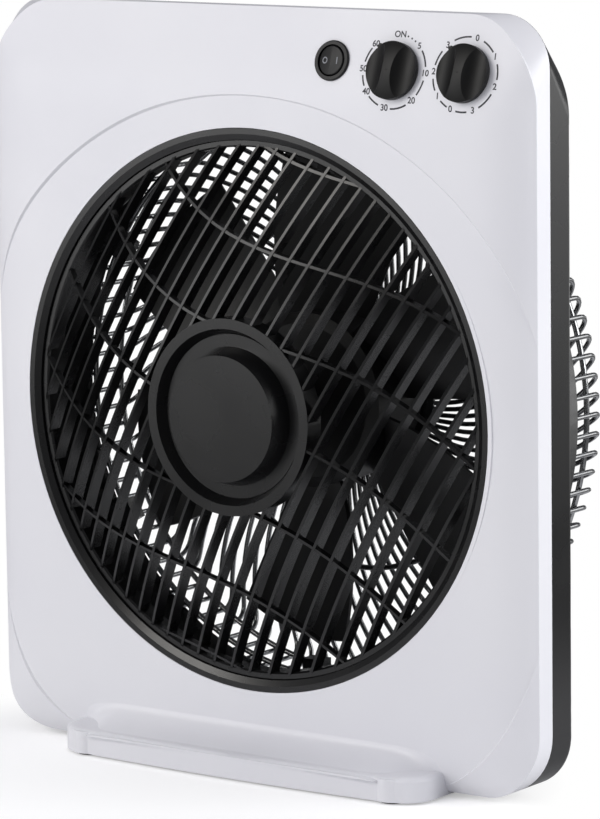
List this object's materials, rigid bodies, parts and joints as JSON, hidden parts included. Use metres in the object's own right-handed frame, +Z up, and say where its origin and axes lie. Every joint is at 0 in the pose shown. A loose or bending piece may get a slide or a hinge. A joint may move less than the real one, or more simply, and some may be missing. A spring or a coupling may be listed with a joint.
{
  "type": "box fan",
  "caption": "Upright box fan with a round opening, a turning domed louvre, three top controls and a rear wire guard.",
  "frame": {"origin": "on the table, under the middle of the object's width and depth", "axes": "+X to the right as seen from the front, +Y to the back, +Z up; the air leaves towards -Y"},
  "size_m": [0.372, 0.1404, 0.43],
  "materials": {
    "white_abs": "semi-gloss moulded",
    "black_abs": "gloss moulded",
    "black_inner": "moulded",
    "nylon": "moulded nylon",
    "rubber": "matte",
    "guard_chrome": "bright plated wire",
    "steel": "ground",
    "zinc_steel": "zinc plated",
    "motor_iron": "laminated sheet",
    "painted_casting": "black paint on a die casting",
    "bronze": "sintered",
    "copper": "enamelled wire",
    "capacitor_case": "moulded"
  },
  "bodies": {
    "shell": {"front_housing": "white_abs", "rear_housing": "black_abs", "bezel_ring": "black_abs", "rim_glides": "nylon", "bezel_screws": "zinc_steel", "louvre_motor": "steel", "louvre_motor_screws": "zinc_steel", "timer_case": "black_inner", "speed_case": "black_inner", "control_screws": "zinc_steel", "switch_body": "black_abs", "motor_stator": "motor_iron", "stator_coils": "copper", "motor_front_bracket": "painted_casting", "motor_rear_bracket": "painted_casting", "front_bearing": "bronze", "rear_bearing": "bronze", "motor_screws": "zinc_steel", "mount_screws": "zinc_steel", "guard_wires": "guard_chrome", "guard_rings": "guard_chrome", "guard_plate": "guard_chrome", "guard_screws": "zinc_steel", "housing_screws": "zinc_steel", "rubber_feet": "rubber", "motor_capacitor": "capacitor_case", "capacitor_screw": "zinc_steel", "cord_gland": "black_inner"},
    "louvre": {"louvre_grille": "black_abs", "louvre_cap": "black_abs"},
    "roller": {"drive_roller": "rubber", "drive_spindle": "steel"},
    "fan": {"impeller": "black_inner", "impeller_nut": "black_inner", "motor_shaft": "steel", "motor_rotor": "motor_iron"},
    "timer": {"timer_knob": "black_abs", "timer_shaft": "steel"},
    "speed": {"speed_knob": "black_abs", "speed_shaft": "steel"},
    "rocker": {"switch_rocker": "black_abs"}
  },
  "joints": [
    {"name": "louvre_spin", "type": "hinge", "parent": "shell", "child": "louvre", "pos_m": [0, -0.03417, 0.2045], "axis": [0, 1, 0], "continuous": true},
    {"name": "fan_spin", "type": "hinge", "parent": "shell", "child": "fan", "pos_m": [0, 0.02583, 0.2045], "axis": [0, 1, 0], "continuous": true},
    {"name": "roller_spin", "type": "hinge", "parent": "shell", "child": "roller", "pos_m": [-0.12678, -0.02768, 0.33128], "axis": [0, 1, 0], "continuous": true},
    {"name": "timer_turn", "type": "hinge", "parent": "shell", "child": "timer", "pos_m": [0.0983, -0.0394, 0.3982], "axis": [0, 0.9681, -0.2504], "range_deg": [-25, 315]},
    {"name": "speed_turn", "type": "hinge", "parent": "shell", "child": "speed", "pos_m": [0.1443, -0.03935, 0.3984], "axis": [0, 0.9681, -0.2504], "range_deg": [0, 270]},
    {"name": "rocker_tilt", "type": "hinge", "parent": "shell", "child": "rocker", "pos_m": [0.0565, -0.03691, 0.40193], "axis": [0, 0.2504, 0.9681], "range_deg": [0, 10]}
  ],
  "couplings": [
    {"joint": "roller_spin", "follows": "louvre_spin", "ratio": -7.1364}
  ]
}
